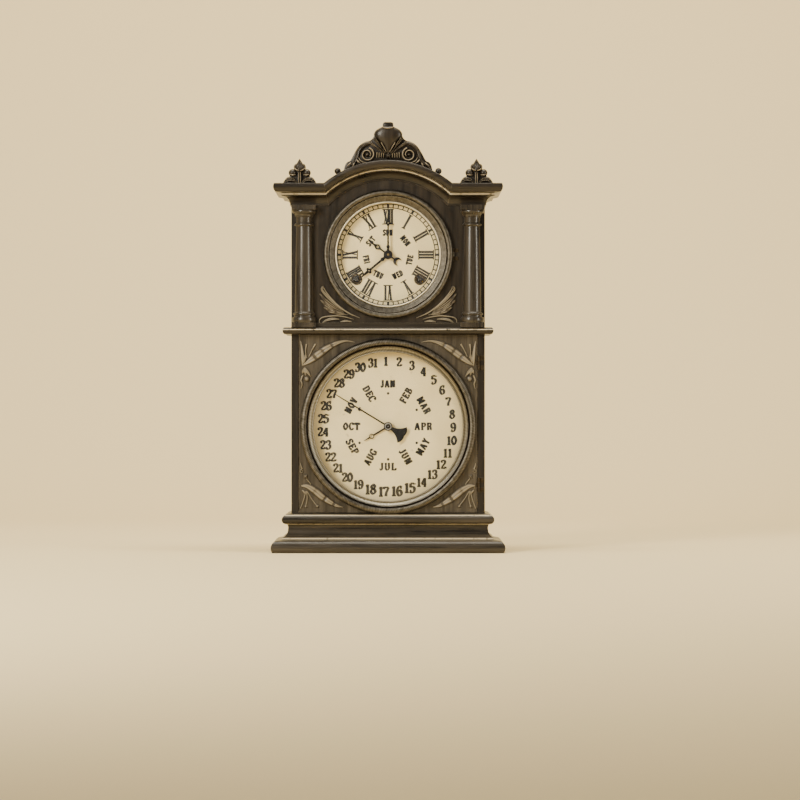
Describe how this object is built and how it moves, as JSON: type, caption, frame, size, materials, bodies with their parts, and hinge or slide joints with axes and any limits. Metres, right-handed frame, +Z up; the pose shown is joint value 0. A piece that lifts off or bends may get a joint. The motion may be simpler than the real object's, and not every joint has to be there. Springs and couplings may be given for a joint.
{
  "type": "calendar shelf clock",
  "caption": "Wooden shelf clock with an arched top, a time dial with weekday hand above and a date and month dial behind a hinged lower door.",
  "frame": {"origin": "on the surface under the clock, at the middle of its width and depth", "axes": "+X to the right of someone facing the clock, +Y to the back, +Z up"},
  "size_m": [0.3176, 0.1432, 0.5844],
  "materials": {
    "antique_brass": "spun brass, aged",
    "carved_wood": "carved walnut, waxed",
    "case_wood": "dark walnut, rubbed varnish",
    "dial": "cream paper on zinc",
    "door_wood": "figured walnut, rubbed varnish",
    "glass": "thin flat glass",
    "gong_steel": "blackened steel wire on a cast block",
    "hand_steel": "blued and blackened steel",
    "hardware_brass": "small cast brass, dull",
    "inner_wood": "plain softwood, unvarnished inside",
    "moulding_wood": "ebonised walnut moulding with worn fillets",
    "movement_brass": "stamped brass",
    "pendulum_brass": "brass-covered lens bob",
    "spring_steel": "blued spring steel",
    "steel": "plain steel"
  },
  "bodies": {
    "case": {"base_moulding": "moulding_wood", "front_rails": "moulding_wood", "bottom_board": "inner_wood", "side_boards": "case_wood", "back_board": "inner_wood", "belt_moulding": "moulding_wood", "upper_front_board": "case_wood", "divider_shelf": "inner_wood", "roof_board": "case_wood", "cornice_wings": "moulding_wood", "cornice_arch": "moulding_wood", "columns": "moulding_wood", "crest": "carved_wood", "finials": "carved_wood", "spandrel_leaves": "carved_wood", "calendar_board": "inner_wood", "case_hardware": "hardware_brass", "back_screws": "steel", "time_dial": "dial", "winding_grommets": "antique_brass", "calendar_dial": "dial", "movement_plates": "movement_brass", "mainsprings": "spring_steel", "gong": "gong_steel", "calendar_plates": "movement_brass"},
    "door": {"door_panel": "door_wood", "door_carvings": "carved_wood", "calendar_bezel": "antique_brass", "calendar_glass": "glass", "door_knuckles": "hardware_brass"},
    "time_sash": {"time_bezel": "antique_brass", "time_glass": "glass"},
    "minute_set": {"minute_hand": "hand_steel", "cannon_pinion": "movement_brass"},
    "minute_wheel_set": {"minute_wheel": "movement_brass"},
    "hour_set": {"hour_hand": "hand_steel", "hour_wheel": "movement_brass"},
    "day_idler_set": {"day_idler": "movement_brass"},
    "weekday_set": {"weekday_hand": "hand_steel", "day_wheel": "movement_brass"},
    "date_set": {"date_wheel": "steel", "date_hand": "hand_steel"},
    "month_idler_set": {"month_idler": "movement_brass"},
    "month_set": {"month_wheel": "movement_brass", "month_hand": "hand_steel"},
    "lifter": {"lift_rod": "steel"},
    "third_set": {"third_wheel": "movement_brass"},
    "centre_set": {"centre_wheel": "movement_brass"},
    "second_set": {"second_wheel": "movement_brass"},
    "time_great_set": {"time_great_wheel": "movement_brass"},
    "time_winder": {"time_winding_arbor": "steel"},
    "escape_set": {"escape_wheel": "movement_brass"},
    "verge_set": {"verge": "steel"},
    "pendulum_set": {"pendulum": "pendulum_brass"},
    "pin_wheel_set": {"pin_wheel": "movement_brass"},
    "strike_great_set": {"strike_great_wheel": "movement_brass"},
    "strike_winder": {"strike_winding_arbor": "steel"},
    "fly_set": {"fly": "movement_brass"},
    "hammer_set": {"hammer": "steel"}
  },
  "joints": [
    {"name": "door_swing", "type": "hinge", "parent": "case", "child": "door", "pos_m": [0.123, -0.0452, 0.175], "axis": [0, 0, 1], "range_deg": [0, 105]},
    {"name": "time_sash_swing", "type": "hinge", "parent": "case", "child": "time_sash", "pos_m": [0.0886, -0.0452, 0.4054], "axis": [0, 0, 1], "range_deg": [0, 90]},
    {"name": "minute_turn", "type": "hinge", "parent": "case", "child": "minute_set", "pos_m": [0, 0, 0.4054], "axis": [0, 1, 0], "continuous": true},
    {"name": "minute_wheel_turn", "type": "hinge", "parent": "case", "child": "minute_wheel_set", "pos_m": [0.0144, 0, 0.4054], "axis": [0, 1, 0], "continuous": true},
    {"name": "hour_turn", "type": "hinge", "parent": "case", "child": "hour_set", "pos_m": [0, 0, 0.4054], "axis": [0, 1, 0], "continuous": true},
    {"name": "day_idler_turn", "type": "hinge", "parent": "case", "child": "day_idler_set", "pos_m": [-0.0216, 0, 0.4054], "axis": [0, 1, 0], "continuous": true},
    {"name": "weekday_turn", "type": "hinge", "parent": "case", "child": "weekday_set", "pos_m": [0, 0, 0.4054], "axis": [0, 1, 0], "continuous": true},
    {"name": "date_turn", "type": "hinge", "parent": "case", "child": "date_set", "pos_m": [0, 0, 0.1714], "axis": [0, 1, 0], "continuous": true},
    {"name": "month_idler_turn", "type": "hinge", "parent": "case", "child": "month_idler_set", "pos_m": [0.0144, 0, 0.1714], "axis": [0, 1, 0], "continuous": true},
    {"name": "month_turn", "type": "hinge", "parent": "case", "child": "month_set", "pos_m": [0, 0, 0.1714], "axis": [0, 1, 0], "continuous": true},
    {"name": "lift_slide", "type": "slide", "parent": "case", "child": "lifter", "axis": [0, 0, 1], "range_m": [0, 0.005]},
    {"name": "third_turn", "type": "hinge", "parent": "case", "child": "third_set", "pos_m": [0.00894, 0, 0.42506], "axis": [0, 1, 0], "continuous": true},
    {"name": "centre_turn", "type": "hinge", "parent": "case", "child": "centre_set", "pos_m": [0, 0, 0.4054], "axis": [0, 1, 0], "continuous": true},
    {"name": "second_turn", "type": "hinge", "parent": "case", "child": "second_set", "pos_m": [0.02449, 0, 0.40482], "axis": [0, 1, 0], "continuous": true},
    {"name": "time_great_turn", "type": "hinge", "parent": "case", "child": "time_great_set", "pos_m": [0.0429, 0, 0.3718], "axis": [0, 1, 0], "continuous": true},
    {"name": "escape_turn", "type": "hinge", "parent": "case", "child": "escape_set", "pos_m": [0, 0, 0.4434], "axis": [0, 1, 0], "continuous": true},
    {"name": "time_winder_turn", "type": "hinge", "parent": "case", "child": "time_winder", "pos_m": [0.0429, 0, 0.3718], "axis": [0, 1, 0], "continuous": true},
    {"name": "pendulum_swing", "type": "hinge", "parent": "case", "child": "pendulum_set", "pos_m": [0, 0.038, 0.4674], "axis": [0, 1, 0], "range_deg": [-4, 4]},
    {"name": "verge_swing", "type": "hinge", "parent": "case", "child": "verge_set", "pos_m": [0, 0, 0.4674], "axis": [0, 1, 0], "range_deg": [-4, 4]},
    {"name": "pin_wheel_turn", "type": "hinge", "parent": "case", "child": "pin_wheel_set", "pos_m": [-0.02994, 0, 0.40731], "axis": [0, 1, 0], "continuous": true},
    {"name": "strike_great_turn", "type": "hinge", "parent": "case", "child": "strike_great_set", "pos_m": [-0.0429, 0, 0.3718], "axis": [0, 1, 0], "continuous": true},
    {"name": "fly_turn", "type": "hinge", "parent": "case", "child": "fly_set", "pos_m": [-0.03419, 0, 0.43144], "axis": [0, 1, 0], "continuous": true},
    {"name": "strike_winder_turn", "type": "hinge", "parent": "case", "child": "strike_winder", "pos_m": [-0.0429, 0, 0.3718], "axis": [0, 1, 0], "continuous": true},
    {"name": "hammer_swing", "type": "hinge", "parent": "case", "child": "hammer_set", "pos_m": [-0.013, 0, 0.3434], "axis": [0, 1, 0], "range_deg": [0, 8]}
  ],
  "couplings": [
    {"joint": "minute_wheel_turn", "follows": "minute_turn", "ratio": -0.33333},
    {"joint": "hour_turn", "follows": "minute_turn", "ratio": 0.083333},
    {"joint": "day_idler_turn", "follows": "minute_turn", "ratio": -0.02381},
    {"joint": "weekday_turn", "follows": "minute_turn", "ratio": 0.0059524},
    {"joint": "month_idler_turn", "follows": "date_turn", "ratio": -0.33333},
    {"joint": "month_turn", "follows": "date_turn", "ratio": 0.083333},
    {"joint": "centre_turn", "follows": "third_turn", "ratio": -0.125},
    {"joint": "second_turn", "follows": "third_turn", "ratio": 0.020833},
    {"joint": "time_great_turn", "follows": "third_turn", "ratio": -0.0034722},
    {"joint": "escape_turn", "follows": "third_turn", "ratio": -7.5},
    {"joint": "verge_swing", "follows": "pendulum_swing", "ratio": 1},
    {"joint": "strike_great_turn", "follows": "pin_wheel_turn", "ratio": -0.16667},
    {"joint": "fly_turn", "follows": "pin_wheel_turn", "ratio": -6}
  ]
}
